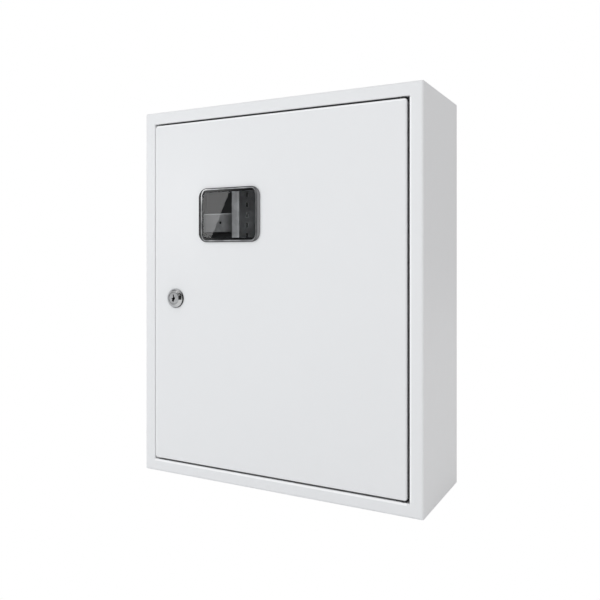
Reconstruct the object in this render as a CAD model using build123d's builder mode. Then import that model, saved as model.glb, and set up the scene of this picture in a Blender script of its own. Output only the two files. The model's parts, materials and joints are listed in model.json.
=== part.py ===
from build123d import *
import os

# Wall-mounted sheet-steel enclosure with an inset, lockable door and a small viewing window.
# Millimetres. The origin is the centre of the wall fixing pattern, on the rear face.
# +X is to the right, +Z is up and the door faces -Y. The door is shut and its lock is open.
# "Depth" is the distance behind the front face.

# Casing
case_w = 400.0
case_h = 500.0
case_d = 150.0
sheet = 1.2
bend = 3.0
lip_bend = 2.0
frame_strip = 16.5
lip_depth = 16.0
ledge_w = 9.0
corner_weld = 1.5
panel_flange = 12.0
wall_hole_inset = 30.0
wall_hole_d = 8.0
edge_break = 0.5
knockout_small = 22.0
knockout_large = 28.0
knockout_pitch = 90.0
knockout_slit = 0.8
knockout_bridge = 3.0

# Door
door_gap = 2.0
door_gap_lock = 0.8
door_gap_hinge = 3.0
door_depth = 14.0
door_corner = 3.5
door_bend = 2.5
pivot_in = 5.0
pin_d = 4.0
pin_head_d = 5.6
pin_head_t = 1.5
pin_reach = 9.0
running_fit = 0.05
bush_wall = 1.4
bush_collar_wall = 2.0
bush_press = 0.05
bush_lift = 0.2
buffer_d = 6.0
buffer_inset = 40.0
buffer_lip_gap = 1.0
buffer_lift = 0.2

# Window
window_inset = 122.3
window_drop = 127.3
window_w = 94.0
window_h = 72.0
window_corner = 12.5
window_rim = 5.2
window_rim_t = 2.2
window_step = 2.0
window_rim_round = 1.2
window_seal_t = 0.6
window_seal_w = 1.8
window_seal_inset = 0.2
window_sheet = 2.5
window_field_t = 1.6
window_field_taper = 20.0
window_skirt_t = 2.0
window_skirt_depth = 6.0
window_fit = 0.2
retainer_w = 7.0
retainer_t = 2.5

# Lock
lock_inset = 35.6
lock_drop = 8.0
collar_d = 26.5
collar_edge = 1.6
collar_t = 5.4
collar_face_d = 18.0
collar_slope_w = 2.2
collar_slope_t = 1.1
barrel_d = 19.0
barrel_flats = 16.5
barrel_fit = 0.15
plug_head_d = 16.0
plug_head_t = 3.0
plug_d = 12.0
plug_head_lift = 0.1
nut_af = 24.0
nut_t = 5.0
cam_t = 2.0
cam_w = 14.0
cam_tip_w = 11.0
cam_past_lip = 2.0
cam_ledge_gap = 1.0
cam_end_gap = 0.2
cam_square = 7.0
cam_fit = 0.15
cam_screw_l = 8.0
cam_screw_fit = 1.0
cam_screw_head_d = 9.0
key_depth = 8.0

# Inner frame
frame_sheet = 1.5
frame_bend = 2.0
rail_span_z = 202.0
rail_h = 29.0
rail_stand = 20.0
rail_end_gap = 8.0
rail_hole_inset = 31.0
rail_hole_d = 4.0
post_x = 95.0
post_flange = 12.0
post_stand = 50.0
post_end_gap = 23.8
post_hole = 7.0
post_pitch = 15.0
post_first_z = 5.0
post_hole_back = 23.5
bar_t = 2.0
bar_h = 30.0
bar_upper_drop = 35.0
bar_span_z = 214.0
bar_slot_l = 26.0
bar_slots = 3
din_rise = 85.0
din_w = 35.0
din_base_w = 27.0
din_d = 7.5
din_t = 1.0
din_slot_l = 15.0
din_pitch = 36.0
din_slots = 5

# Terminal bars
terminal_bar_gap = 5.0
terminal_bar_h = 9.0
terminal_bar_d = 6.5
terminal_stand = 18.0
terminal_stand_d = 11.0
terminal_pitch = 9.5
terminal_wire_d = 5.0

# Fasteners
screw_d = 5.0
screw_head_af = 8.0
screw_head_t = 3.0
screw_end = 2.5
screw_fit = 0.1
small_screw_d = 4.0
small_head_d = 7.0
small_head_t = 2.2
stud_d = 6.0
stud_l = 16.0
door_stud_l = 12.0
stud_nut_af = 10.0
stud_nut_t = 5.0
stud_washer_d = 12.0
stud_washer_t = 1.6
stud_x = 60.0
stud_rise = 33.8
door_stud_inset = 32.0
door_stud_rise = 27.0

# Worked-out sizes
opening_w = case_w - 2 * frame_strip
opening_h = case_h - 2 * frame_strip
door_w = opening_w - door_gap_lock - door_gap_hinge
door_h = opening_h - 2 * door_gap
door_x = (door_gap_lock - door_gap_hinge) / 2
door_left = door_x - door_w / 2
door_right = door_x + door_w / 2
inner_w = case_w - 2 * sheet
inner_h = case_h - 2 * sheet
pivot_x = door_right - pivot_in
lock_x = door_left + lock_inset
lock_z = -lock_drop
window_x = door_left + window_inset
window_z = door_h / 2 - window_drop
window_hole_w = window_w - 2 * (window_rim - window_step)
window_hole_h = window_h - 2 * (window_rim - window_step)
window_hole_corner = window_corner - window_rim + window_step
cam_depth = lip_depth + sheet + cam_ledge_gap
rail_depth = case_d - rail_stand
rail_y = -rail_stand
rail_l = inner_w - 2 * rail_end_gap
rail_hole_x = rail_l / 2 - rail_hole_inset
post_depth = rail_depth - post_stand
post_y = post_depth - case_d
post_l = inner_h - 2 * post_end_gap
post_edge_x = post_x + post_flange
post_rows = 2 * int((post_l / 2 - post_first_z - post_hole) / post_pitch) + 1
terminal_bar_x = (post_edge_x + rail_l / 2) / 2
terminal_bar_l = rail_l / 2 - post_edge_x - 2 * terminal_bar_gap
terminal_count = int((terminal_bar_l - 2 * terminal_bar_h) / terminal_pitch)
bar_upper_z = post_l / 2 - bar_upper_drop
bar_lower_z = bar_upper_z - bar_span_z
din_z = din_rise - post_l / 2
post_screw_x = post_x + (post_flange + frame_sheet) / 2


def at_depth(depth):
    """Plane parallel to the door, this far behind the front face. Its z axis points at the viewer."""
    return Plane.XZ.offset(case_d - depth)


def round_screw(shank_d, shank_l, head_d, head_t):
    """Screw with a plain round head: the head stands on z = 0 and the shank runs down."""
    with BuildPart() as screw:
        with BuildSketch(Plane.XY):
            Circle(head_d / 2)
        extrude(amount=head_t)
        with BuildSketch(Plane.XY):
            Circle(shank_d / 2)
        extrude(amount=-shank_l)
    return screw.part


def hex_screw(shank_d, shank_l, head_af, head_t):
    """Hexagon-head screw: the head stands on z = 0 and the shank runs down."""
    with BuildPart() as screw:
        with BuildSketch(Plane.XY):
            RegularPolygon(head_af / 2, 6, major_radius=False)
        extrude(amount=head_t)
        with BuildSketch(Plane.XY):
            Circle(shank_d / 2)
        extrude(amount=-shank_l)
    return screw.part


def hex_nut(across_flats, thickness, bore_d):
    """Hexagon nut standing on z = 0."""
    with BuildPart() as nut:
        with BuildSketch():
            RegularPolygon(across_flats / 2, 6, major_radius=False)
            Circle(bore_d / 2, mode=Mode.SUBTRACT)
        extrude(amount=thickness)
    return nut.part


# Casing: one strip of sheet folded to wall, front strip, return lip and ledge, mitred at the corners
with BuildPart() as casing_shell:
    with BuildLine() as casing_path:
        Polyline(
            (case_w / 2, 0, 0),
            (case_w / 2, 0, case_h / 2),
            (-case_w / 2, 0, case_h / 2),
            (-case_w / 2, 0, -case_h / 2),
            (case_w / 2, 0, -case_h / 2),
            close=True,
        )
    with BuildSketch(Plane.XY):
        with BuildLine():
            FilletPolyline(
                (case_w / 2, 0),
                (case_w / 2, -case_d),
                (opening_w / 2, -case_d),
                (opening_w / 2, lip_depth - case_d),
                (opening_w / 2 - ledge_w, lip_depth - case_d),
                radius=(bend, lip_bend, lip_bend - sheet),
            )
            offset(amount=sheet, side=Side.RIGHT)
        make_face()
    sweep(path=casing_path.wire(), transition=Transition.RIGHT)
    # Soft welded corners along the depth
    wall_corners = casing_shell.edges().filter_by(Axis.Y).group_by(SortBy.LENGTH)[-1]
    outer_corners = [e for e in wall_corners if abs(e.center().X) > case_w / 2 - sheet / 2]
    fillet(outer_corners, corner_weld)
    # Cable knockouts in the top and the bottom, each held by two bridges
    with BuildSketch(Plane.XY.offset(-case_h / 2)):
        with Locations((0, -case_d * 0.45)):
            Circle(knockout_large / 2)
            Circle(knockout_large / 2 - knockout_slit, mode=Mode.SUBTRACT)
            with GridLocations(knockout_pitch * 2, 1, 2, 1):
                Circle(knockout_small / 2)
                Circle(knockout_small / 2 - knockout_slit, mode=Mode.SUBTRACT)
            with GridLocations(knockout_pitch, 1, 3, 1):
                Rectangle(knockout_bridge, knockout_large + 2, mode=Mode.SUBTRACT)
    extrude(amount=case_h, mode=Mode.SUBTRACT)
    # The pins of the hinge pass through the lip
    with BuildSketch(Plane.XY.offset(-case_h / 2 + frame_strip - sheet * 2)):
        with Locations((pivot_x, pivot_in - case_d)):
            Circle(pin_d / 2 + running_fit)
    extrude(amount=opening_h + sheet * 4, mode=Mode.SUBTRACT)
casing_shell.part.label = "casing_shell"

# Back: a shallow pan that stands inside the casing, flush with its rear edge
with BuildPart() as back_panel:
    with BuildSketch(at_depth(case_d)):
        Rectangle(inner_w, inner_h)
    extrude(amount=panel_flange)
    fillet(back_panel.faces().sort_by(Axis.Y)[-1].edges(), bend)
    offset(amount=-sheet, openings=back_panel.faces().sort_by(Axis.Y)[0])
    with BuildSketch(at_depth(case_d)):
        with GridLocations(case_w - 2 * wall_hole_inset, case_h - 2 * wall_hole_inset, 2, 2):
            Circle(wall_hole_d / 2)
    extrude(amount=sheet, mode=Mode.SUBTRACT)
back_panel.part.label = "back_panel"


def base_rail(z):
    """Channel welded on the back panel by its two edges, with its web to the front."""
    with BuildPart() as rail:
        with BuildSketch(Plane.YZ.offset(-rail_l / 2)):
            with BuildLine():
                FilletPolyline(
                    (-sheet, z + rail_h / 2),
                    (rail_y, z + rail_h / 2),
                    (rail_y, z - rail_h / 2),
                    (-sheet, z - rail_h / 2),
                    radius=(frame_bend, frame_bend),
                )
                offset(amount=frame_sheet, side=Side.LEFT)
            make_face()
        extrude(amount=rail_l)
        with BuildSketch(at_depth(rail_depth)):
            with Locations((0, z)):
                with GridLocations(rail_hole_x * 2, 1, 2, 1):
                    Circle(rail_hole_d / 2)
                with GridLocations(post_screw_x * 2, 1, 2, 1):
                    Circle(screw_d / 2 + screw_fit)
        extrude(amount=-frame_sheet, mode=Mode.SUBTRACT)
    return rail


base_rail_upper = base_rail(rail_span_z / 2)
base_rail_upper.part.label = "base_rail_upper"
base_rail_lower = base_rail(-rail_span_z / 2)
# The terminal bars' stands are screwed to the lower rail
with BuildPart() as base_rail_lower_drilled:
    add(base_rail_lower.part)
    with BuildSketch(at_depth(rail_depth)):
        with Locations((-terminal_bar_x, -rail_span_z / 2), (terminal_bar_x, -rail_span_z / 2)):
            with GridLocations(terminal_bar_l - terminal_bar_h, 1, 2, 1):
                Circle(small_screw_d / 2 + screw_fit)
    extrude(amount=-frame_sheet, mode=Mode.SUBTRACT)
base_rail_lower_drilled.part.label = "base_rail_lower"

# Posts: channels with outward flanges and a row of square holes in the web
with BuildPart() as post_left:
    with BuildSketch(Plane.XY.offset(-post_l / 2)):
        with BuildLine():
            FilletPolyline(
                (-post_edge_x, post_y),
                (-post_x, post_y),
                (-post_x, rail_y),
                (-post_edge_x, rail_y),
                radius=(frame_bend, frame_bend),
            )
            offset(amount=frame_sheet, side=Side.LEFT)
        make_face()
    extrude(amount=post_l)
    with BuildSketch(Plane.YZ.offset(-post_x)):
        with Locations((post_y + post_hole_back, post_first_z)):
            with GridLocations(post_pitch, post_pitch, 1, post_rows):
                Rectangle(post_hole, post_hole)
    extrude(amount=-frame_sheet, mode=Mode.SUBTRACT)
    with BuildSketch(at_depth(rail_depth)):
        with Locations((-post_screw_x, rail_span_z / 2), (-post_screw_x, -rail_span_z / 2)):
            Circle(screw_d / 2 + screw_fit)
    extrude(amount=frame_sheet, mode=Mode.SUBTRACT)
    with BuildSketch(at_depth(post_depth)):
        with Locations((-post_screw_x, bar_upper_z), (-post_screw_x, bar_lower_z), (-post_screw_x, din_z)):
            Circle(screw_d / 2 + screw_fit)
    extrude(amount=-frame_sheet, mode=Mode.SUBTRACT)
post_left.part.label = "post_left"

with BuildPart() as post_right:
    mirror(post_left.part, about=Plane.YZ)
post_right.part.label = "post_right"

frame_screw = hex_screw(screw_d, frame_sheet * 2 + screw_end, screw_head_af, screw_head_t)
with BuildPart() as post_screws:
    with Locations(at_depth(rail_depth - frame_sheet)):
        with GridLocations(post_screw_x * 2, rail_span_z, 2, 2):
            add(frame_screw)
post_screws.part.label = "post_screws"


def meter_bar(z):
    """Flat slotted bar across the front flanges of the posts."""
    with BuildPart() as bar:
        with BuildSketch(at_depth(post_depth)):
            with Locations((0, z)):
                Rectangle(post_edge_x * 2, bar_h)
                with GridLocations(post_screw_x * 2, 1, 2, 1):
                    Circle(screw_d / 2 + screw_fit, mode=Mode.SUBTRACT)
                with GridLocations(bar_slot_l * 2, 1, bar_slots, 1):
                    SlotOverall(bar_slot_l, screw_d, mode=Mode.SUBTRACT)
        extrude(amount=bar_t)
    return bar


meter_bar_upper = meter_bar(bar_upper_z)
meter_bar_upper.part.label = "meter_bar_upper"
meter_bar_lower = meter_bar(bar_lower_z)
meter_bar_lower.part.label = "meter_bar_lower"

with BuildPart() as meter_bar_screws:
    with Locations(at_depth(post_depth - bar_t)):
        with Locations((0, (bar_upper_z + bar_lower_z) / 2)):
            with GridLocations(post_screw_x * 2, bar_upper_z - bar_lower_z, 2, 2):
                add(hex_screw(screw_d, frame_sheet + bar_t + screw_end, screw_head_af, screw_head_t))
meter_bar_screws.part.label = "meter_bar_screws"

# Device rail: the common 35 mm hat profile, slotted along its base
din_rim_y = post_y - din_d + din_t
with BuildPart() as din_rail:
    with BuildSketch(Plane.YZ.offset(-post_edge_x)):
        with BuildLine():
            FilletPolyline(
                (din_rim_y, din_z + din_w / 2),
                (din_rim_y, din_z + din_base_w / 2),
                (post_y, din_z + din_base_w / 2),
                (post_y, din_z - din_base_w / 2),
                (din_rim_y, din_z - din_base_w / 2),
                (din_rim_y, din_z - din_w / 2),
                radius=(0.5, 1.2, 1.2, 0.5),
            )
            offset(amount=din_t, side=Side.RIGHT)
        make_face()
    extrude(amount=post_edge_x * 2)
    with BuildSketch(at_depth(post_depth)):
        with Locations((0, din_z)):
            with GridLocations(din_pitch, 1, din_slots, 1):
                SlotOverall(din_slot_l, screw_d + 1.2)
            with GridLocations(post_screw_x * 2, 1, 2, 1):
                Circle(screw_d / 2 + screw_fit)
    extrude(amount=din_t, mode=Mode.SUBTRACT)
din_rail.part.label = "din_rail"

with BuildPart() as din_rail_screws:
    with Locations(at_depth(post_depth - din_t)):
        with Locations((0, din_z)):
            with GridLocations(post_screw_x * 2, 1, 2, 1):
                add(hex_screw(screw_d, frame_sheet + din_t + screw_end, screw_head_af, screw_head_t))
din_rail_screws.part.label = "din_rail_screws"


def terminal_bar_parts(x, z, name):
    """Drilled brass bar on two stands: returns its pieces by node name."""
    ends = terminal_bar_l - terminal_bar_h
    front_depth = rail_depth - terminal_stand - terminal_bar_d
    fixing_l = terminal_stand + terminal_bar_d + screw_end
    pieces = {}
    for side, end_x in (("left", x - ends / 2), ("right", x + ends / 2)):
        with BuildPart() as stand:
            with BuildSketch(at_depth(rail_depth)):
                with Locations((end_x, z)):
                    RegularPolygon(terminal_stand_d / 2, 6, major_radius=False)
                    Circle(small_screw_d / 2 + screw_fit, mode=Mode.SUBTRACT)
            extrude(amount=terminal_stand)
        pieces[f"{name}_stand_{side}"] = stand
    with BuildPart() as bar:
        with BuildSketch(at_depth(rail_depth - terminal_stand)):
            with Locations((x, z)):
                Rectangle(terminal_bar_l, terminal_bar_h)
                with GridLocations(ends, 1, 2, 1):
                    Circle(small_screw_d / 2 + screw_fit, mode=Mode.SUBTRACT)
        extrude(amount=terminal_bar_d)
        with BuildSketch(at_depth(front_depth)):
            with Locations((x, z)):
                with GridLocations(terminal_pitch, 1, terminal_count, 1):
                    Circle(small_screw_d / 2 + screw_fit)
        extrude(amount=-terminal_bar_d / 2, mode=Mode.SUBTRACT)
        with BuildSketch(Plane.XY.offset(z - terminal_bar_h / 2)):
            with Locations((x, rail_y - terminal_stand - terminal_bar_d / 2)):
                with GridLocations(terminal_pitch, 1, terminal_count, 1):
                    Rectangle(terminal_wire_d, terminal_wire_d * 0.8)
        extrude(amount=terminal_bar_h, mode=Mode.SUBTRACT)
    pieces[f"{name}_bar"] = bar
    with BuildPart() as fixing:
        with Locations(at_depth(front_depth)):
            with Locations((x, z)):
                with GridLocations(ends, 1, 2, 1):
                    add(hex_screw(small_screw_d, fixing_l, small_head_d, small_head_t))
    pieces[f"{name}_bar_screws"] = fixing
    with BuildPart() as clamps:
        with Locations(at_depth(front_depth)):
            with Locations((x, z)):
                with GridLocations(terminal_pitch, 1, terminal_count, 1):
                    add(round_screw(small_screw_d, terminal_bar_d / 2 - 1.5, small_head_d, small_head_t))
    pieces[f"{name}_clamp_screws"] = clamps
    return pieces


terminal_parts = terminal_bar_parts(-terminal_bar_x, -rail_span_z / 2, "neutral")
terminal_parts.update(terminal_bar_parts(terminal_bar_x, -rail_span_z / 2, "earth"))


def stud_parts(depth, x, z, toward, length):
    """Welded stud with its washer and nut; toward is 1 when it points to the front, -1 to the rear."""
    with BuildPart() as stud:
        with BuildSketch(at_depth(depth)):
            with Locations((x, z)):
                Circle(stud_d / 2)
        extrude(amount=toward * length)
        chamfer(stud.faces().sort_by(Axis.Y)[0 if toward > 0 else -1].edges(), edge_break)
    with BuildPart() as washer:
        with BuildSketch(at_depth(depth)):
            with Locations((x, z)):
                Circle(stud_washer_d / 2)
                Circle(stud_d / 2 + screw_fit, mode=Mode.SUBTRACT)
        extrude(amount=toward * stud_washer_t)
    nut_foot = stud_washer_t if toward > 0 else -stud_washer_t - stud_nut_t
    with BuildPart() as nut:
        with Locations(at_depth(depth - nut_foot)):
            with Locations((x, z)):
                add(hex_nut(stud_nut_af, stud_nut_t, stud_d + 2 * screw_fit))
    return stud, washer, nut


earth_stud, earth_stud_washer, earth_stud_nut = stud_parts(
    case_d - sheet, stud_x, stud_rise - inner_h / 2, 1, stud_l
)
earth_stud.part.label = "earth_stud"
earth_stud_washer.part.label = "earth_stud_washer"
earth_stud_nut.part.label = "earth_stud_nut"

# Door: a shallow pan, rounded in its corners and bent at its edges
with BuildPart() as door_panel:
    with BuildSketch(at_depth(0)):
        with Locations((door_x, 0)):
            RectangleRounded(door_w, door_h, door_corner)
    extrude(amount=-door_depth)
    fillet(door_panel.faces().sort_by(Axis.Y)[0].edges(), door_bend)
    offset(amount=-sheet, openings=door_panel.faces().sort_by(Axis.Y)[-1])
    with BuildSketch(at_depth(0)):
        with Locations((window_x, window_z)):
            RectangleRounded(window_hole_w, window_hole_h, window_hole_corner)
    extrude(amount=-sheet, mode=Mode.SUBTRACT)
    with BuildSketch(at_depth(0)):
        with Locations((lock_x, lock_z)):
            Circle(barrel_d / 2 + barrel_fit)
            Rectangle(barrel_flats + 2 * barrel_fit, barrel_d + 1, mode=Mode.INTERSECT)
    extrude(amount=-sheet, mode=Mode.SUBTRACT)
    with BuildSketch(Plane.XY.offset(-door_h / 2)):
        with Locations((pivot_x, pivot_in - case_d)):
            Circle(pin_d / 2 + running_fit + bush_wall)
    extrude(amount=door_h, mode=Mode.SUBTRACT)
door_panel.part.label = "door_panel"


def hinge_pin(up):
    """Pin headed behind the lip and reaching into the door; up is 1 at the top and -1 at the bottom."""
    with BuildPart() as pin:
        with BuildSketch(Plane.XY.offset(up * (opening_h / 2 + sheet))):
            with Locations((pivot_x, pivot_in - case_d)):
                Circle(pin_head_d / 2)
        extrude(amount=up * pin_head_t)
        with BuildSketch(Plane.XY.offset(up * (opening_h / 2 + sheet))):
            with Locations((pivot_x, pivot_in - case_d)):
                Circle(pin_d / 2)
        extrude(amount=-up * (sheet + door_gap + pin_reach))
        chamfer(pin.faces().sort_by(Axis.Z)[-1 if up < 0 else 0].edges(), edge_break)
    return pin


def hinge_bush(up):
    """Nylon bush through the door's edge, with a collar that fills the gap to the lip."""
    with BuildPart() as bush:
        with BuildSketch(Plane.XY.offset(up * door_h / 2)):
            with Locations((pivot_x, pivot_in - case_d)):
                Circle(pin_d / 2 + running_fit + bush_collar_wall)
                Circle(pin_d / 2 + running_fit, mode=Mode.SUBTRACT)
        extrude(amount=up * (door_gap - bush_lift))
        with BuildSketch(Plane.XY.offset(up * door_h / 2)):
            with Locations((pivot_x, pivot_in - case_d)):
                Circle(pin_d / 2 + running_fit + bush_wall - bush_press)
                Circle(pin_d / 2 + running_fit, mode=Mode.SUBTRACT)
        extrude(amount=-up * (pin_reach + 1))
    return bush


hinge_pin_top = hinge_pin(1)
hinge_pin_top.part.label = "hinge_pin_top"
hinge_pin_bottom = hinge_pin(-1)
hinge_pin_bottom.part.label = "hinge_pin_bottom"
hinge_bush_top = hinge_bush(1)
hinge_bush_top.part.label = "hinge_bush_top"
hinge_bush_bottom = hinge_bush(-1)
hinge_bush_bottom.part.label = "hinge_bush_bottom"


def door_buffer(z):
    """Rubber stop on the ledge, just behind the rim of the shut door."""
    with BuildPart() as buffer:
        with BuildSketch(at_depth(lip_depth)):
            with Locations((buffer_lip_gap + buffer_d / 2 - opening_w / 2, z)):
                Circle(buffer_d / 2)
        extrude(amount=lip_depth - door_depth - buffer_lift)
        chamfer(buffer.faces().sort_by(Axis.Y)[0].edges(), edge_break)
    return buffer


door_buffer_top = door_buffer(door_h / 2 - buffer_inset)
door_buffer_top.part.label = "door_buffer_top"
door_buffer_bottom = door_buffer(buffer_inset - door_h / 2)
door_buffer_bottom.part.label = "door_buffer_bottom"

# Window: a clear moulding with a raised rim, on a thin seal, held from behind by a frame
window_face = window_seal_t + window_rim_t
window_clear_w = window_w - 2 * window_rim
window_clear_h = window_h - 2 * window_rim
window_clear_corner = window_corner - window_rim
skirt_w = window_hole_w - 2 * window_fit
skirt_h = window_hole_h - 2 * window_fit
skirt_corner = window_hole_corner - window_fit
with BuildPart() as window_pane:
    with BuildSketch(at_depth(-window_seal_t)):
        with Locations((window_x, window_z)):
            RectangleRounded(window_w, window_h, window_corner)
    extrude(amount=window_rim_t)
    fillet(window_pane.faces().sort_by(Axis.Y)[0].edges(), window_rim_round)
    with BuildSketch(at_depth(-window_seal_t)):
        with Locations((window_x, window_z)):
            RectangleRounded(skirt_w, skirt_h, skirt_corner)
    extrude(amount=-(window_seal_t + window_skirt_depth))
    # Recessed field in front of the clear sheet, with a sloping rim
    with BuildSketch(at_depth(-window_face)):
        with Locations((window_x, window_z)):
            RectangleRounded(window_clear_w, window_clear_h, window_clear_corner)
    extrude(amount=-window_field_t, taper=window_field_taper, mode=Mode.SUBTRACT)
    # Hollow behind the clear sheet, inside the skirt
    with BuildSketch(at_depth(window_skirt_depth)):
        with Locations((window_x, window_z)):
            RectangleRounded(
                skirt_w - 2 * window_skirt_t,
                skirt_h - 2 * window_skirt_t,
                skirt_corner - window_skirt_t,
            )
    extrude(
        amount=window_skirt_depth + window_face - window_field_t - window_sheet,
        mode=Mode.SUBTRACT,
    )
window_pane.part.label = "window_pane"

with BuildPart() as window_seal:
    with BuildSketch(at_depth(0)):
        with Locations((window_x, window_z)):
            RectangleRounded(
                window_w - 2 * window_seal_inset,
                window_h - 2 * window_seal_inset,
                window_corner - window_seal_inset,
            )
            RectangleRounded(
                window_w - 2 * window_seal_inset - 2 * window_seal_w,
                window_h - 2 * window_seal_inset - 2 * window_seal_w,
                window_corner - window_seal_inset - window_seal_w,
                mode=Mode.SUBTRACT,
            )
    extrude(amount=window_seal_t)
window_seal.part.label = "window_seal"

with BuildPart() as window_retainer:
    with BuildSketch(at_depth(sheet)):
        with Locations((window_x, window_z)):
            RectangleRounded(
                window_hole_w + 2 * retainer_w,
                window_hole_h + 2 * retainer_w,
                window_hole_corner + retainer_w,
            )
            RectangleRounded(skirt_w, skirt_h, skirt_corner, mode=Mode.SUBTRACT)
    extrude(amount=-retainer_t)
    chamfer(window_retainer.faces().sort_by(Axis.Y)[-1].outer_wire().edges(), 2 * edge_break)
window_retainer.part.label = "window_retainer"

# Lock: turned body with a tapered collar, a nut behind the door, and a plug that carries the cam
barrel_end = cam_depth - cam_end_gap
with BuildPart() as lock_housing:
    with BuildSketch(Plane.XZ):
        with BuildLine():
            Polyline(
                (0, -barrel_end),
                (barrel_d / 2, -barrel_end),
                (barrel_d / 2, 0),
                (collar_d / 2, 0),
                (collar_d / 2, collar_edge),
                (collar_face_d / 2 + collar_slope_w, collar_t - collar_slope_t),
                (collar_face_d / 2, collar_t),
                (0, collar_t),
                close=True,
            )
        make_face()
    revolve(axis=Axis.Z)
    # Two flats along the barrel stop it turning in the door
    with BuildSketch(Plane.XY):
        with GridLocations(barrel_flats + barrel_d, 1, 2, 1):
            Rectangle(barrel_d, barrel_d + 1)
    extrude(amount=-barrel_end, mode=Mode.SUBTRACT)
    with BuildSketch(Plane.XY.offset(-barrel_end)):
        Circle(plug_d / 2 + running_fit)
    extrude(amount=barrel_end + collar_t, mode=Mode.SUBTRACT)
    with BuildSketch(Plane.XY.offset(collar_t)):
        Circle(plug_head_d / 2 + running_fit)
    extrude(amount=-plug_head_t, mode=Mode.SUBTRACT)


def on_lock_axis(form):
    """The form, modelled along +Z with the door's face at z = 0, set on the lock's axis."""
    with BuildPart() as placed:
        with Locations(at_depth(0)):
            with Locations((lock_x, lock_z)):
                add(form.part)
    return placed


with BuildPart() as plug_form:
    with BuildSketch(Plane.XY.offset(-cam_depth)):
        Circle(plug_d / 2)
    extrude(amount=cam_depth + collar_t)
    with BuildSketch(Plane.XY.offset(collar_t)):
        Circle(plug_head_d / 2)
    extrude(amount=plug_head_lift - plug_head_t)
    chamfer(plug_form.faces().sort_by(Axis.Z)[-1].edges(), edge_break)
    # Square end for the cam, drilled for its screw
    with BuildSketch(Plane.XY.offset(-cam_depth)):
        Rectangle(cam_square, cam_square)
    extrude(amount=-cam_t)
    with BuildSketch(Plane.XY.offset(-cam_depth - cam_t)):
        Circle(small_screw_d / 2 + screw_fit)
    extrude(amount=cam_screw_l + cam_screw_fit, mode=Mode.SUBTRACT)
    # Keyway: a crooked upright slot with a wide middle
    with BuildSketch(Plane.XY.offset(collar_t)):
        with BuildLine():
            Polyline(
                (-1.7, 5.0),
                (0.1, 5.2),
                (0.6, 2.8),
                (2.3, 1.2),
                (2.5, -0.9),
                (0.9, -2.6),
                (0.1, -4.9),
                (-1.7, -4.8),
                (-1.2, -2.2),
                (-2.8, -1.5),
                (-3.0, -0.2),
                (-1.0, 0.6),
                (-1.0, 2.2),
                close=True,
            )
        make_face()
    extrude(amount=-key_depth, mode=Mode.SUBTRACT)

# Cam: a flat arm that hangs down when open and reaches behind the ledge when turned left
cam_reach = opening_w / 2 + lock_x + cam_past_lip
with BuildPart() as cam_form:
    with BuildSketch(Plane.XY.offset(-cam_depth)):
        with BuildLine():
            Polyline(
                (-cam_w / 2, 0),
                (-cam_tip_w / 2, -cam_reach + cam_tip_w / 2),
            )
            ThreePointArc(
                (-cam_tip_w / 2, -cam_reach + cam_tip_w / 2),
                (0, -cam_reach),
                (cam_tip_w / 2, -cam_reach + cam_tip_w / 2),
            )
            Line((cam_tip_w / 2, -cam_reach + cam_tip_w / 2), (cam_w / 2, 0))
            ThreePointArc((cam_w / 2, 0), (0, cam_w / 2), (-cam_w / 2, 0))
        make_face()
        Rectangle(cam_square + 2 * cam_fit, cam_square + 2 * cam_fit, mode=Mode.SUBTRACT)
    extrude(amount=-cam_t)
    chamfer(cam_form.faces().sort_by(Axis.Z)[0].outer_wire().edges(), edge_break)

lock_plug = on_lock_axis(plug_form)
lock_plug.part.label = "lock_plug"
lock_cam = on_lock_axis(cam_form)
lock_cam.part.label = "lock_cam"
lock_housing_placed = on_lock_axis(lock_housing)
lock_housing_placed.part.label = "lock_housing"

with BuildPart() as cam_screw_form:
    add(round_screw(small_screw_d, cam_screw_l, cam_screw_head_d, small_head_t), rotation=(180, 0, 0))
with BuildPart() as cam_screw:
    with Locations(at_depth(cam_depth + cam_t)):
        with Locations((lock_x, lock_z)):
            add(cam_screw_form.part)
cam_screw.part.label = "cam_screw"

with BuildPart() as lock_nut:
    with Locations(at_depth(sheet + nut_t)):
        with Locations((lock_x, lock_z)):
            add(hex_nut(nut_af, nut_t, barrel_d + 2 * screw_fit))
lock_nut.part.label = "lock_nut"

door_stud, door_stud_washer, door_stud_nut = stud_parts(
    sheet, door_right - door_stud_inset, door_stud_rise - door_h / 2, -1, door_stud_l
)
door_stud.part.label = "door_stud"
door_stud_washer.part.label = "door_stud_washer"
door_stud_nut.part.label = "door_stud_nut"

pieces = [
    casing_shell,
    back_panel,
    base_rail_upper,
    base_rail_lower_drilled,
    post_left,
    post_right,
    post_screws,
    meter_bar_upper,
    meter_bar_lower,
    meter_bar_screws,
    din_rail,
    din_rail_screws,
    earth_stud,
    earth_stud_washer,
    earth_stud_nut,
    hinge_pin_top,
    hinge_pin_bottom,
    door_buffer_top,
    door_buffer_bottom,
    door_panel,
    hinge_bush_top,
    hinge_bush_bottom,
    window_pane,
    window_seal,
    window_retainer,
    lock_housing_placed,
    lock_nut,
    lock_plug,
    lock_cam,
    cam_screw,
    door_stud,
    door_stud_washer,
    door_stud_nut,
]
for name, piece in terminal_parts.items():
    piece.part.label = name
    pieces.append(piece)

os.makedirs("parts", exist_ok=True)
for piece in pieces:
    export_step(piece.part, f"parts/{piece.part.label}.step")
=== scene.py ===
import json
import math

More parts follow.
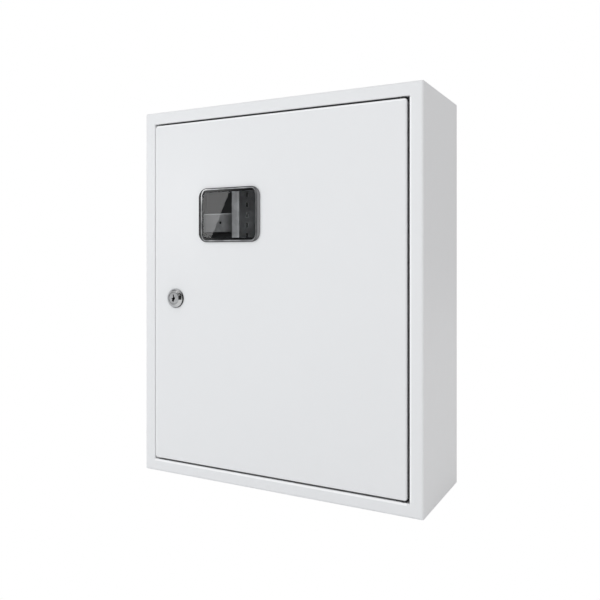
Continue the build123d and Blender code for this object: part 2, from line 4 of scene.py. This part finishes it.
import bmesh
import bpy
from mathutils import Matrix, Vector


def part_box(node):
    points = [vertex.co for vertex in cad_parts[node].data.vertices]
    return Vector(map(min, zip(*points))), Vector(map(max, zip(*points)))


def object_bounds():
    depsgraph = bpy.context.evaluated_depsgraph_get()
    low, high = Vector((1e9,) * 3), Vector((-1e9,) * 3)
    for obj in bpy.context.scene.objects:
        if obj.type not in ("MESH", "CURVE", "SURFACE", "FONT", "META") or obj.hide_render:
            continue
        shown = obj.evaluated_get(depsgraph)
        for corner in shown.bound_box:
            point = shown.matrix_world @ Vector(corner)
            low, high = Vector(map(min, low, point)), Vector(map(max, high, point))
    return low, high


# A white sheet-steel enclosure with a lockable door and a small window, seen from the front right.
# Metres, in the frame of the model: +X right, +Z up, the door faces -Y, the wall is at y = 0.

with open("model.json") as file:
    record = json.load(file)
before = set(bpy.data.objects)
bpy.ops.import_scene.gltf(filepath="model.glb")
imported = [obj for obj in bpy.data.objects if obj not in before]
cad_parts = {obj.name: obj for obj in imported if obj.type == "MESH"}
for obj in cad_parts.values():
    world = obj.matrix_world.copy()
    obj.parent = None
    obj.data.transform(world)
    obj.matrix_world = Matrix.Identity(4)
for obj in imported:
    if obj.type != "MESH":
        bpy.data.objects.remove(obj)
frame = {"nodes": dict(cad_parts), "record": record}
cad_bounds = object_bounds()
nodes = frame["nodes"]

# Places read from the frame
pane_low, pane_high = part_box("window_pane")
plug_low, plug_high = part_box("lock_plug")
door_low, door_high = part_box("door_panel")
panel_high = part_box("back_panel")[1]
post_low, post_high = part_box("post_left")
lock_centre = (plug_low + plug_high) / 2
pane_centre = (pane_low + pane_high) / 2
pane_half = (pane_high - pane_low) / 2
underside = cad_bounds[0][2]

# Camera fitted to the photograph's 600-pixel frame
camera_at = Vector((0.4289, -0.9133, 0.0509))
camera_yaw = math.radians(28.852)
focal_px = 688.775
principal_px = (275.0, 255.23)
frame_px = 600.0
sensor_mm = 36.0

# Paint and metal tones, and the painted highlights and painted shade on them
paint_white = (0.808, 0.81, 0.820)
# Painted highlight on the bends beside the door's gap
bend_highlight_white = (0.95, 0.952, 0.958)
# Painted shade inside the closed box
inner_shade_grey = (0.034, 0.035, 0.036)
# Painted shade in crevices of the paint
crevice_shade_grey = (0.02, 0.02, 0.021)
zinc_grey = (0.60, 0.61, 0.62)
rail_grey = (0.45, 0.457, 0.465)
# Painted shade on zinc, in crevices and behind the posts
shade_grey = (0.05, 0.051, 0.053)
screw_grey = (0.70, 0.70, 0.69)
brass_yellow = (0.72, 0.50, 0.20)
chrome_grey = (0.56, 0.565, 0.575)
# Painted highlight on the right of the lock's collar
chrome_highlight = (0.70, 0.70, 0.70)
# Painted shade in screw slots and painted dark reflection on the lock
shade_and_dark_reflection_grey = (0.03, 0.03, 0.032)
# The padlock print, and the keyway painted black as shade
print_and_keyway_shade_black = (0.006, 0.006, 0.006)

# Plastic tones, and the painted light and shade on the window's rim
blue = (0.05, 0.14, 0.42)
rubber = (0.018, 0.018, 0.019)
black = (0.02, 0.02, 0.022)
sheet_clear = (0.95, 0.955, 0.96)
rim_base = (0.055, 0.057, 0.06)
# Painted shade line on the window's rim
rim_shade = (0.006, 0.006, 0.007)
# Painted highlight line on the window's rim
rim_highlight = (0.42, 0.425, 0.43)
# Painted light on the rim's right side
rim_lit_pale = (0.30, 0.30, 0.305)
# Painted glint on the rim's upper left corner
rim_glint = (0.9, 0.9, 0.9)
# Painted shade on the rim's outermost edge
rim_edge_shade = (0.012, 0.012, 0.013)

# Paint. A crevice, darkened as painted shade, is given by its reach and its openness where it counts as
# shut and as open.
paint_depth = 0.0006
paint_crevice = (0.006, 0.12, 0.5)
edge_strip = 0.0026
hinge_gap = 0.003
level_gap = 0.002
gap_zone = 0.004
part_pale = 0.35
floor_clear = 0.008

# Zinc, its painted crevice shade, and the painted shadow on the rails behind the posts as seen past a
# post's outer edge
zinc_crevice = (0.035, 0.2, 0.9)
rolling_stretch = (1.0, 1.0, 0.02)
sight_slope = 0.64
shade_width = 0.016
shade_share = 0.85

# Screws and studs, as shares of the head's radius and as lengths; the slots, crosses and thread grooves are
# painted shade
slot_reach = 0.85
cross_reach = 0.6
arm_half = 0.15
head_t = 0.0012
thread_pitch = 0.001
screw_arms = {
    "post_screws": 2,
    "meter_bar_screws": 2,
    "din_rail_screws": 2,
    "neutral_bar_screws": 2,
    "earth_bar_screws": 2,
    "neutral_clamp_screws": 1,
    "earth_clamp_screws": 1,
    "cam_screw": 2,
}

# Lock, as radii and as places across and up from its axis, with the bands of its painted highlight, painted
# dark reflection and painted shade
turning_density = 9000.0
face_ring = (0.0078, 0.0088)
top_patch = (0.0096, 0.0118)
rim_start = 0.0127
rim_soft = (-0.0003, 0.0002)
dark_towards = (0.8, -0.6)
padlock_at = (0.0100, 0.0019)
padlock_half = 0.0017
padlock_height = (-0.0036, 0.0023)
bow_at = (-0.0010, 0.0030)
bow_radii = (0.0011, 0.0021)
bow_foot = 0.0027
key_reach = 0.006
key_depth = 0.0006
key_lobe_at = (-0.0019, -0.0030)
key_lobe_r = 0.0010
key_notch_at = (-0.0028, -0.0002)
key_notch_r = 0.0006

# Window. What ends in _in lies that far inside its outline. A pair is for level and upright sides.
pane_corner = 0.0125
rim_width = 0.0058
side_blend = 0.006
bright_in = (0.0019, 0.0049)
bright_half = 0.0007
dark_in = (0.0040, 0.0033)
dark_half_left = 0.0013
dark_half_right = 0.0017
dark_half_reach = 0.04
edge_in = (0.0010, 0.0026)
pale_in = 0.0032
right_from = -0.01
right_to = 0.03
right_share = 0.75
glint_span = (0.058, 0.070)
acrylic_ior = 1.49
rim_specular = 0.35
edge_specular = 0.15
sheet_mirror = 0.041
sheet_rough = 0.012
sheet_front = 0.0016

# What the pane mirrors, as pixels of the photograph, a share of the camera's distance and a glow
surround_px = ((160, 150), (300, 150), (300, 290), (160, 290))
surround_reach = 0.37
surround_glow = 0.02
bright_px = ((170, 160), (241.5, 160), (229.8, 191), (210.5, 239), (198, 270), (170, 270))
bright_reach = 0.35
bright_glow = 2.7

# Surroundings
floor_margin = 4.0
floor_dark = (0.93, 0.93, 0.93)
floor_light = (0.95, 0.95, 0.95)
world_ambient = 0.752
studio_level = 0.72
dark_side = 0.25
low_side = 0.25

# Noise seldom leaves this range
noise_low = 0.3
noise_high = 0.7


def with_alpha(colour):
    """An RGB colour as a socket takes it. A link is left as it is."""
    return (*colour, 1.0) if isinstance(colour, tuple) else colour


def scaled(colour, factor):
    return tuple(min(1.0, part * factor) for part in colour)


class Graph:
    """A material's node tree, with short calls for the nodes used here."""

    def __init__(self, name):
        self.material = bpy.data.materials.new(name)
        self.material.use_nodes = True
        self.tree = self.material.node_tree
        self.tree.nodes.clear()
        self.output = self.tree.nodes.new("ShaderNodeOutputMaterial")

    @classmethod
    def over(cls, world_tree):
        """The same calls on a world's node tree."""
        g = cls.__new__(cls)
        g.tree = world_tree
        g.tree.nodes.clear()
        g.output = g.tree.nodes.new("ShaderNodeOutputWorld")
        return g

    def node(self, kind, inputs=None, **settings):
        node = self.tree.nodes.new(kind)
        for key, value in settings.items():
            setattr(node, key, value)
        for key, value in (inputs or {}).items():
            if hasattr(value, "is_output"):
                self.tree.links.new(value, node.inputs[key])
            else:
                node.inputs[key].default_value = value
        return node

    # Numbers

    def math(self, operation, *values):
        return self.node("ShaderNodeMath", dict(enumerate(values)), operation=operation).outputs[0]

    def chain(self, operation, values):
        result = values[0]
        for value in values[1:]:
            result = self.math(operation, result, value)
        return result

    def times(self, *values):
        return self.chain("MULTIPLY", values)

    def either(self, *values):
        """The largest of some masks."""
        return self.chain("MAXIMUM", values)

    def minus(self, first, second):
        return self.math("SUBTRACT", first, second)

    def opposite(self, mask):
        return self.math("SUBTRACT", 1.0, mask)

    def below(self, value, limit):
        return self.math("LESS_THAN", value, limit)

    def above(self, value, limit):
        return self.math("GREATER_THAN", value, limit)

    def band(self, value, low, high):
        """1 where the value is between the two limits."""
        return self.times(self.above(value, low), self.below(value, high))

    def off(self, value, centre):
        """How far a value is from a centre."""
        return self.math("ABSOLUTE", self.minus(value, centre))

    def length(self, first, second):
        squares = self.math("ADD", self.times(first, first), self.times(second, second))
        return self.math("SQRT", squares)

    def disc(self, across, up, centre, radius):
        """1 inside a circle."""
        return self.below(self.length(self.minus(across, centre[0]), self.minus(up, centre[1])), radius)

    def spread(self, value, low, high, low_out, high_out):
        """The value's place between two limits, carried over to two others."""
        inputs = {"Value": value, "From Min": low, "From Max": high}
        inputs.update({"To Min": low_out, "To Max": high_out})
        return self.node("ShaderNodeMapRange", inputs).outputs[0]

    def ramp(self, value, low, high):
        return self.spread(value, low, high, 0.0, 1.0)

    # Places, patterns and colours

    def position(self):
        return self.node("ShaderNodeTexCoord").outputs["Object"]

    def axis(self, position):
        return self.node("ShaderNodeSeparateXYZ", {0: position}).outputs

    def stretch(self, position, scale):
        return self.node("ShaderNodeMapping", {"Vector": position, "Scale": scale}).outputs[0]

    def noise(self, position, scale, detail=2.0, rough=0.5):
        inputs = {"Vector": position, "Scale": scale, "Detail": detail, "Roughness": rough}
        return self.node("ShaderNodeTexNoise", inputs).outputs["Fac"]

    def by_noise(self, noise, low_out, high_out):
        return self.spread(noise, noise_low, noise_high, low_out, high_out)

    def crevice(self, reach, shut, wide_open):
        """0 in a narrow gap, 1 on an open surface, by ambient occlusion; the finishes use it for painted
        shade.
        """
        cover = self.node("ShaderNodeAmbientOcclusion", {"Distance": reach}, samples=8).outputs["AO"]
        return self.ramp(cover, shut, wide_open)

    def mix_colour(self, factor, first, second):
        inputs = {0: factor, 6: with_alpha(first), 7: with_alpha(second)}
        return self.node("ShaderNodeMix", inputs, data_type="RGBA").outputs[2]

    def shades(self, factor, colour, darkest, lightest):
        """A colour between a darker and a lighter shade of itself."""
        return self.mix_colour(factor, scaled(colour, darkest), scaled(colour, lightest))

    # Surfaces

    def bump(self, height, strength, distance, normal=None):
        inputs = {"Height": height, "Strength": strength, "Distance": distance}
        if normal is not None:
            inputs["Normal"] = normal
        return self.node("ShaderNodeBump", inputs).outputs[0]

    def principled(self, inputs):
        return self.node("ShaderNodeBsdfPrincipled", inputs).outputs[0]

    def emission(self, strength):
        inputs = {"Color": (1, 1, 1, 1), "Strength": strength}
        return self.node("ShaderNodeEmission", inputs).outputs[0]

    def mix_shader(self, factor, first, second):
        return self.node("ShaderNodeMixShader", {0: factor, 1: first, 2: second}).outputs[0]

    def finish(self, shader):
        self.tree.links.new(shader, self.output.inputs["Surface"])
        return self.material


def bend_highlights(g, x, y, z):
    """The bends beside the door's gap, painted lighter as a highlight where they catch the light."""
    top = g.band(z, door_high.z - edge_strip, door_high.z)
    bottom = g.band(z, door_low.z - level_gap - edge_strip, door_low.z - level_gap)
    left = g.band(x, door_low.x, door_low.x + edge_strip)
    right = g.band(x, door_high.x + hinge_gap, door_high.x + hinge_gap + edge_strip)
    level = g.times(g.band(x, door_low.x, door_high.x), g.either(top, bottom))
    upright = g.times(g.band(z, door_low.z, door_high.z), g.either(left, right))
    return g.times(g.either(level, upright), g.below(y, door_low.y + edge_strip))


def unshaded_crevices(g, x, z):
    """Where the painted crevice shade is left out: the lock side's gap, partly the lower one, and close to
    the floor.
    """
    lock_side = g.below(x, door_low.x + gap_zone)
    near_floor = g.below(z, underside + floor_clear)
    lower_gap = g.times(g.below(z, door_low.z + gap_zone), part_pale)
    return g.either(lock_side, near_floor, lower_gap)


def powder_coat(name, colour, inner_shade_colour=None, split_y=None):
    """Satin powder coat with a fine orange peel, a painted highlight on the bends beside the door's gap,
    and painted shade in crevices.

    With split_y, what lies in front of it has another colour, a painted shade.
    """
    g = Graph(name)
    place = g.position()
    x, y, z = g.axis(place)
    tint = g.shades(g.noise(place, 5.0, 3.0), colour, 0.985, 1.01)
    if split_y is not None:
        # Painted shade on what lies in front of split_y
        tint = g.mix_colour(g.below(y, split_y), tint, inner_shade_colour)
    # Painted highlight on the bends beside the door's gap
    tint = g.mix_colour(bend_highlights(g, x, y, z), tint, bend_highlight_white)
    # Painted shade in crevices, except where it is left out
    unshaded_share = g.either(g.crevice(*paint_crevice), unshaded_crevices(g, x, z))
    tint = g.mix_colour(unshaded_share, crevice_shade_grey, tint)
    peel = g.bump(g.noise(place, 900.0, 2.0, 0.45), 0.10, 0.0004)
    grain = g.noise(place, 3800.0, 1.0, 0.5)
    return g.finish(g.principled({
        "Base Color": tint,
        "Roughness": g.by_noise(g.noise(place, 60.0, 3.0), 0.36, 0.44),
        "Specular IOR Level": 0.35,
        "Normal": g.bump(grain, 0.05, 0.0001, peel),
    }))


def zinc_sheet(name, colour, shade=None):
    """Zinc-coated sheet: dull metal with a faint spangle and rolling marks, and painted shade in crevices.

    With shade, it has a painted shadow from a post's inner edge to the first of two distances from the
    middle, and is clear of it from the second one on.
    """
    g = Graph(name)
    place = g.position()
    cells = g.node("ShaderNodeTexVoronoi", {"Vector": place, "Scale": 130.0}, feature="F1")
    spangle = g.axis(cells.outputs["Color"])[0]
    # Painted shade in crevices
    unshaded_share = g.crevice(*zinc_crevice)
    if shade is not None:
        # Painted shadow on a rail behind a post
        from_middle = g.off(g.axis(place)["X"], 0.0)
        past_inner_edge = g.above(from_middle, -post_high.x)
        behind = g.times(g.spread(from_middle, *shade, shade_share, 0.0), past_inner_edge)
        unshaded_share = g.times(unshaded_share, g.opposite(behind))
    lines = g.noise(g.stretch(place, rolling_stretch), 1400.0, 2.0)
    return g.finish(g.principled({
        "Base Color": g.mix_colour(unshaded_share, shade_grey, g.shades(spangle, colour, 0.86, 1.06)),
        "Metallic": 0.25,
        "Roughness": g.spread(spangle, 0.0, 1.0, 0.38, 0.55),
        "Normal": g.bump(lines, 0.08, 0.0001),
    }))


def metal(name, colour, rough, grain_scale=900.0, grain=0.06, stretch=(1.0, 1.0, 1.0)):
    """Plated or bare metal with fine machining grain."""
    g = Graph(name)
    place = g.position()
    fine = g.noise(g.stretch(place, stretch), grain_scale, 3.0, 0.6)
    return g.finish(g.principled({
        "Base Color": g.shades(g.noise(place, 120.0), colour, 0.92, 1.04),
        "Metallic": 1.0,
        "Roughness": g.by_noise(fine, rough * 0.8, rough * 1.25),
        "Normal": g.bump(fine, grain, 0.00008),
    }))


def moulded(name, colour, rough):
    """Moulded plastic, nylon or rubber with a fine sparked texture."""
    g = Graph(name)
    place = g.position()
    fine = g.noise(place, 1500.0, 2.0, 0.6)
    return g.finish(g.principled({
        "Base Color": g.shades(g.noise(place, 90.0), colour, 0.9, 1.1),
        "Roughness": g.by_noise(fine, rough - 0.05, rough + 0.07),
        "Normal": g.bump(fine, 0.12, 0.0001),
    }))


def threaded(name, colour, rough):
    """Metal stud along Y with a fine thread, its grooves painted darker as shade."""
    g = Graph(name)
    place = g.position()
    turns = g.math("SINE", g.times(g.axis(place)["Y"], 2 * math.pi / thread_pitch))
    # The thread's grooves are painted darker as shade
    return g.finish(g.principled({
        "Base Color": g.shades(g.ramp(turns, -1.0, 0.2), colour, 0.45, 1.0),
        "Metallic": 1.0,
        "Roughness": g.by_noise(g.noise(place, 120.0), rough * 0.8, rough * 1.25),
        "Normal": g.bump(turns, 0.7, 0.0003),
    }))


def separate_boxes(name):
    """The lowest and highest corner of each separate solid in a node."""
    mesh = bmesh.new()
    mesh.from_mesh(nodes[name].data)
    bmesh.ops.remove_doubles(mesh, verts=mesh.verts, dist=1e-5)
    left = set(mesh.verts)
    boxes = []
    while left:
        edge_of_known = [left.pop()]
        corners = []
        while edge_of_known:
            vertex = edge_of_known.pop()
            corners.append(vertex.co.copy())
            for edge in vertex.link_edges:
                other = edge.other_vert(vertex)
                if other in left:
                    left.remove(other)
                    edge_of_known.append(other)
        low = Vector([min(corner[axis] for corner in corners) for axis in range(3)])
        high = Vector([max(corner[axis] for corner in corners) for axis in range(3)])
        boxes.append((low, high))
    mesh.free()
    return sorted(boxes, key=lambda box: tuple(box[0]))


def recessed_screw(node_name, arms, faces_back=False):
    """Plated screw with a slot (one arm) or a cross (two arms) sunk in each head by a bump and painted dark
    as shade.
    """
    g = Graph("screw_" + node_name)
    place = g.position()
    x, y, z = g.axis(place)
    boxes = separate_boxes(node_name)
    arm_reach = slot_reach if arms == 1 else cross_reach
    marks = []
    for low, high in boxes:
        middle = (low + high) / 2
        head_r = (high.x - low.x) / 2
        across = g.off(x, middle.x)
        up = g.off(z, middle.z)
        marks.append(g.times(g.below(across, head_r * arm_half), g.below(up, head_r * arm_reach)))
        if arms == 2:
            marks.append(g.times(g.below(up, head_r * arm_half), g.below(across, head_r * arm_reach)))
    if faces_back:
        on_head = g.above(y, max(high.y for low, high in boxes) - head_t)
    else:
        on_head = g.below(y, min(low.y for low, high in boxes) + head_t)
    # The slot or cross is painted dark as shade
    recess = g.times(g.either(*marks), on_head)
    tint = g.shades(g.noise(place, 120.0), screw_grey, 0.92, 1.04)
    return g.finish(g.principled({
        "Base Color": g.mix_colour(recess, tint, shade_and_dark_reflection_grey),
        "Metallic": g.opposite(recess),
        "Roughness": g.by_noise(g.noise(place, 900.0, 3.0, 0.6), 0.22, 0.35),
        "Normal": g.bump(g.opposite(recess), 0.6, 0.0004),
    }))


def painted_dark_reflection(g, across, up, radius):
    """How dark the turned lock is painted: a painted dark reflection of the dark side of the room on the
    lower right rim and a patch at the top, and painted shade in the ring round the plug.
    """
    towards = g.math("ADD", g.times(across, dark_towards[0]), g.times(up, dark_towards[1]))
    low_right = g.ramp(g.math("DIVIDE", towards, radius), -0.1, 0.6)
    rim = g.ramp(radius, rim_start + rim_soft[0], rim_start + rim_soft[1])
    at_top = g.spread(g.math("DIVIDE", up, radius), 0.90, 0.96, 0.0, 0.6)
    patch = g.times(g.band(radius, *top_patch), at_top)
    ring = g.times(g.band(radius, *face_ring), g.spread(up, 0.0, 0.004, 0.15, 0.4))
    return g.either(g.times(rim, low_right), patch, ring)


def padlock_mark(g, across, up):
    """A small padlock with its bow swung open, at three o'clock."""
    side = g.minus(across, padlock_at[0])
    height = g.minus(up, padlock_at[1])
    body = g.times(g.band(side, -padlock_half, padlock_half), g.band(height, *padlock_height))
    bow = g.length(g.minus(side, bow_at[0]), g.minus(height, bow_at[1]))
    return g.either(body, g.times(g.band(bow, *bow_radii), g.above(height, bow_foot)))


def keyway(g, across, up, y, radius):
    """The inside of the keyway, with the lower lobe and the side notch of its mouth, painted black as
    shade.
    """
    lobe = g.disc(across, up, key_lobe_at, key_lobe_r)
    notch = g.disc(across, up, key_notch_at, key_notch_r)
    inside = g.times(g.above(y, plug_low.y + key_depth), g.below(radius, key_reach))
    return g.either(lobe, notch, inside)


def lock_metal(name, colour, rough):
    """Satin chrome turned round the lock's axis, with a painted highlight on the collar, painted dark
    reflection and shade, a keyway painted black as shade and a black padlock mark.
    """
    g = Graph(name)
    place = g.position()
    x, y, z = g.axis(place)
    across = g.minus(x, lock_centre.x)
    up = g.minus(z, lock_centre.z)
    radius = g.length(across, up)
    stain = g.noise(place, 300.0, 3.0)
    # Painted highlight on the right of the collar
    to_right = g.ramp(g.math("DIVIDE", across, radius), 0.0, 0.6)
    collar = g.times(g.band(radius, face_ring[1], rim_start), to_right)
    tint = g.mix_colour(collar, g.shades(stain, colour, 0.9, 1.05), chrome_highlight)
    # Painted dark reflection and painted shade
    tint = g.mix_colour(painted_dark_reflection(g, across, up, radius), tint, shade_and_dark_reflection_grey)
    # The black padlock print, and the keyway painted black as shade
    marks = g.either(padlock_mark(g, across, up), keyway(g, across, up, y, radius))
    return g.finish(g.principled({
        "Base Color": g.mix_colour(marks, tint, print_and_keyway_shade_black),
        "Metallic": g.opposite(marks),
        "Roughness": g.by_noise(stain, rough * 0.85, rough * 1.2),
        "Normal": g.bump(g.math("SINE", g.times(radius, turning_density)), 0.04, 0.00003),
    }))


def by_side(g, upright, sizes):
    """A size that has one value on the level sides of the window and another on the upright ones."""
    return g.spread(upright, 0.0, 1.0, *sizes)


def window_rim(g, place, x, z, inside, upright):
    """Clear plastic over the dark seal, with a painted highlight line and a painted shade line running
    round it, and more painted light and shade.
    """
    sideways = g.minus(x, pane_centre.x)
    right_upright = g.times(upright, g.spread(sideways, right_from, right_to, 0.0, right_share))
    # The painted shade line widens to the right and fades there
    dark_half = g.spread(sideways, -dark_half_reach, dark_half_reach, dark_half_left, dark_half_right)
    shade_line = g.below(g.off(inside, by_side(g, upright, dark_in)), dark_half)
    shade_line = g.times(shade_line, g.opposite(right_upright))
    tint = g.mix_colour(shade_line, rim_base, rim_shade)
    # The painted highlight line is uneven, and weaker on the right
    uneven = g.spread(g.noise(place, 70.0), 0.35, 0.65, 0.35, 1.0)
    highlight_line = g.below(g.off(inside, by_side(g, upright, bright_in)), bright_half)
    highlight_line = g.times(highlight_line, uneven, g.spread(right_upright, 0.0, right_share, 1.0, 0.4))
    tint = g.mix_colour(highlight_line, tint, rim_highlight)
    # Painted light: the right side is paler, the more so towards its edge
    lit_band = g.times(g.spread(inside, 0.0, pale_in, 1.0, 0.5), g.below(inside, pale_in))
    tint = g.mix_colour(g.times(right_upright, lit_band), tint, rim_lit_pale)
    # A painted glint on the upper left corner
    to_corner = g.minus(g.minus(z, pane_centre.z), sideways)
    glint = g.times(g.ramp(to_corner, *glint_span), highlight_line)
    tint = g.mix_colour(glint, tint, rim_glint)
    # Painted shade on the outermost edge on the upper left, where it turns away from the light
    shaded_outer_edge = g.below(inside, by_side(g, upright, edge_in))
    shaded_outer_edge = g.times(shaded_outer_edge, g.above(to_corner, 0.0))
    return g.principled({
        "Base Color": g.mix_colour(shaded_outer_edge, tint, rim_edge_shade),
        "Roughness": 0.16,
        "IOR": acrylic_ior,
        "Specular IOR Level": g.spread(shaded_outer_edge, 0.0, 1.0, rim_specular, edge_specular),
        "Normal": g.bump(g.noise(place, 160.0), 0.05, 0.0004),
    })


def clear_window(name):
    """Clear moulding: a thin clear sheet in the middle and a greyer moulded rim round it."""
    g = Graph(name)
    place = g.position()
    x, y, z = g.axis(place)
    in_front = g.below(y, door_low.y)
    # How far inside the rounded outline, and whether by an upright side
    across = g.minus(g.off(x, pane_centre.x), pane_half.x - pane_corner)
    along = g.minus(g.off(z, pane_centre.z), pane_half.z - pane_corner)
    corner = g.length(g.math("MAXIMUM", across, 0.0), g.math("MAXIMUM", along, 0.0))
    straight = g.math("MINIMUM", g.math("MAXIMUM", across, along), 0.0)
    inside = g.minus(pane_corner, g.math("ADD", corner, straight))
    upright = g.ramp(g.minus(across, along), -side_blend, side_blend)
    # A thin sheet mirrors the same from both sides, and more at a flat angle
    facing = g.node("ShaderNodeLayerWeight", {"Blend": 0.5}).outputs["Facing"]
    flatness = g.times(g.math("POWER", facing, 5.0), 1.0 - sheet_mirror)
    sheen = g.times(g.math("ADD", sheet_mirror, flatness), in_front)
    clear = g.node("ShaderNodeBsdfTransparent", {"Color": with_alpha(sheet_clear)}).outputs[0]
    gloss = {"Color": (1, 1, 1, 1), "Roughness": sheet_rough}
    sheet = g.mix_shader(sheen, clear, g.node("ShaderNodeBsdfGlossy", gloss).outputs[0])
    rim_zone = g.times(g.below(inside, rim_width), in_front)
    return g.finish(g.mix_shader(rim_zone, sheet, window_rim(g, place, x, z, inside, upright)))


def dress(finishes):
    """Give each node its slot's finish, and some nodes a finish of their own."""
    slot_of = {part["node"]: part["material_slot"] for part in frame["record"]["subparts"]}
    for name, node in nodes.items():
        node.data.materials.clear()
        node.data.materials.append(finishes[slot_of[name]])
    # Where the view past a post's outer edge meets the rail behind it, and the rail's painted shadow starts
    # to fade
    shade_end = -post_low.x + sight_slope * (post_high.y - post_low.y)
    rail_zinc = zinc_sheet("zinc_rail", rail_grey, (shade_end, shade_end + shade_width))
    own = {"base_rail_upper": rail_zinc, "base_rail_lower": rail_zinc}
    for name, arms in screw_arms.items():
        own[name] = recessed_screw(name, arms, faces_back=name == "cam_screw")
    for name in ("earth_stud", "door_stud"):
        own[name] = threaded("thread_" + name, screw_grey, 0.3)
    # The back panel is dark as painted shade but for its rear, which is painted as the casing is
    split_y = panel_high.y - paint_depth
    own["back_panel"] = powder_coat("powder_coat_back", paint_white, inner_shade_grey, split_y)
    for name, finish in own.items():
        nodes[name].data.materials[0] = finish


def add_camera():
    data = bpy.data.cameras.new("camera")
    data.sensor_width = sensor_mm
    data.lens = focal_px / frame_px * sensor_mm
    data.shift_x = (frame_px / 2 - principal_px[0]) / frame_px
    data.shift_y = (principal_px[1] - frame_px / 2) / frame_px
    camera = bpy.data.objects.new("camera", data)
    camera.location = camera_at
    camera.rotation_euler = (math.radians(90), 0, camera_yaw)
    bpy.context.scene.collection.objects.link(camera)
    bpy.context.scene.camera = camera


def flat_mesh(name, corners):
    mesh = bpy.data.meshes.new(name)
    mesh.from_pydata([tuple(corner) for corner in corners], [], [tuple(range(len(corners)))])
    piece = bpy.data.objects.new(name, mesh)
    bpy.context.scene.collection.objects.link(piece)
    return piece


def add_floor():
    floor = flat_mesh("floor", [
        (-floor_margin, -floor_margin, underside),
        (floor_margin, -floor_margin, underside),
        (floor_margin, floor_margin, underside),
        (-floor_margin, floor_margin, underside),
    ])
    g = Graph("floor")
    tint = g.mix_colour(g.noise(g.position(), 3.0), floor_dark, floor_light)
    pale = g.principled({"Base Color": tint, "Roughness": 0.9})
    # Pure white in the picture, as in a product shot, with no more light on the object
    seen = g.node("ShaderNodeLightPath").outputs["Is Camera Ray"]
    floor.data.materials.append(g.finish(g.mix_shader(seen, pale, g.emission(1.0))))


def on_pane(pixel):
    """Where the ray through a pixel of the photograph meets the plane of the clear sheet's front."""
    forward = Vector((-math.sin(camera_yaw), math.cos(camera_yaw), 0))
    right = Vector((math.cos(camera_yaw), math.sin(camera_yaw), 0))
    ray = forward + right * ((pixel[0] - principal_px[0]) / focal_px)
    ray = ray + Vector((0, 0, 1)) * ((principal_px[1] - pixel[1]) / focal_px)
    sheet_y = pane_low.y + sheet_front
    return camera_at + ray * ((sheet_y - camera_at.y) / ray.y)


def mirrored(point, reach):
    """What the camera sees mirrored at a point of the pane, at reach times the camera's distance."""
    ray = point - camera_at
    return point + Vector((ray.x, -ray.y, ray.z)) * reach


def add_card(name, pixels, reach, strength):
    """A glowing card that only reflections see, where the pane mirrors it at these pixels."""
    card = flat_mesh(name, [mirrored(on_pane(pixel), reach) for pixel in pixels])
    g = Graph(name)
    card.data.materials.append(g.finish(g.emission(strength)))
    card.visible_camera = False
    card.visible_diffuse = False
    card.visible_shadow = False
    card.visible_transmission = False


def add_world():
    world = bpy.data.worlds.new("studio")
    world.use_nodes = True
    g = Graph.over(world.node_tree)
    path = g.node("ShaderNodeLightPath").outputs
    sight = g.axis(g.node("ShaderNodeTexCoord").outputs["Generated"])
    # Reflections see a bright room above and to the left, and a dark one to the right and below
    leftness = g.spread(sight["X"], -0.2, 0.75, 1.0, dark_side)
    height = g.spread(sight["Z"], -0.9, 0.2, low_side, 1.0)
    studio = g.times(leftness, height, studio_level)
    unseen = {0: path["Is Glossy Ray"], 2: world_ambient, 3: studio}
    level = {0: path["Is Camera Ray"], 2: g.node("ShaderNodeMix", unseen).outputs[0], 3: 1.0}
    strength = g.node("ShaderNodeMix", level).outputs[0]
    background = g.node("ShaderNodeBackground", {"Color": (1, 1, 1, 1), "Strength": strength})
    g.tree.links.new(background.outputs[0], g.output.inputs["Surface"])
    bpy.context.scene.world = world


def add_area(name, at, target, size, power, colour=(1.0, 1.0, 1.0)):
    data = bpy.data.lights.new(name, "AREA")
    data.shape = "DISK"
    data.size = size
    data.energy = power
    data.color = colour
    lamp = bpy.data.objects.new(name, data)
    lamp.location = at
    lamp.rotation_euler = (Vector(target) - Vector(at)).to_track_quat("-Z", "Y").to_euler()
    bpy.context.scene.collection.objects.link(lamp)
    return lamp


def light_only(lamp, starts):
    """Let a lamp reach only the nodes whose names start so, and only these shade each other."""
    lit = bpy.data.collections.new(lamp.name + "_reach")
    for name, node in nodes.items():
        if name.startswith(starts):
            lit.objects.link(node)
    lamp.light_linking.receiver_collection = lit
    lamp.light_linking.blocker_collection = lit


def add_lights():
    """A broad key light from the front left, and two small lamps that reach only pieces in the box."""
    key = add_area(
        "key_light", at=(-0.7, -2.4, 0.5), target=(0, 0, 0), size=1.6, power=13.9, colour=(0.95, 1.0, 1.03)
    )
    key.visible_glossy = False
    fill = add_area("inner_fill", at=(-0.06, -0.80, 0.12), target=(-0.10, -0.02, 0.1), size=0.25, power=1.6)
    light_only(fill, ("base_rail", "post", "meter_bar", "din_rail", "neutral", "earth", "back_panel"))
    top = add_area("inner_top", at=(-0.12, -0.03, 0.30), target=(-0.12, -0.02, 0.1), size=0.03, power=0.4)
    light_only(top, ("base_rail",))


dress({
    "paint_white": powder_coat("powder_coat_white", paint_white),
    "zinc_sheet": zinc_sheet("zinc_sheet", zinc_grey),
    "zinc_screw": metal("zinc_screw", screw_grey, 0.28),
    "brass": metal("brass", brass_yellow, 0.26, 700.0, 0.05, (0.05, 1.0, 1.0)),
    "insulator_blue": moulded("insulator_blue", blue, 0.45),
    "rubber_black": moulded("rubber_black", rubber, 0.62),
    "clear_plastic": clear_window("clear_window"),
    "plastic_black": moulded("plastic_black", black, 0.4),
    "lock_chrome": lock_metal("lock_chrome", chrome_grey, 0.34),
})
add_camera()
add_floor()
add_card("dark_surround", surround_px, surround_reach, surround_glow)
add_card("bright_screen", bright_px, bright_reach, bright_glow)
add_world()
add_lights()
bpy.context.scene.view_settings.view_transform = "Standard"
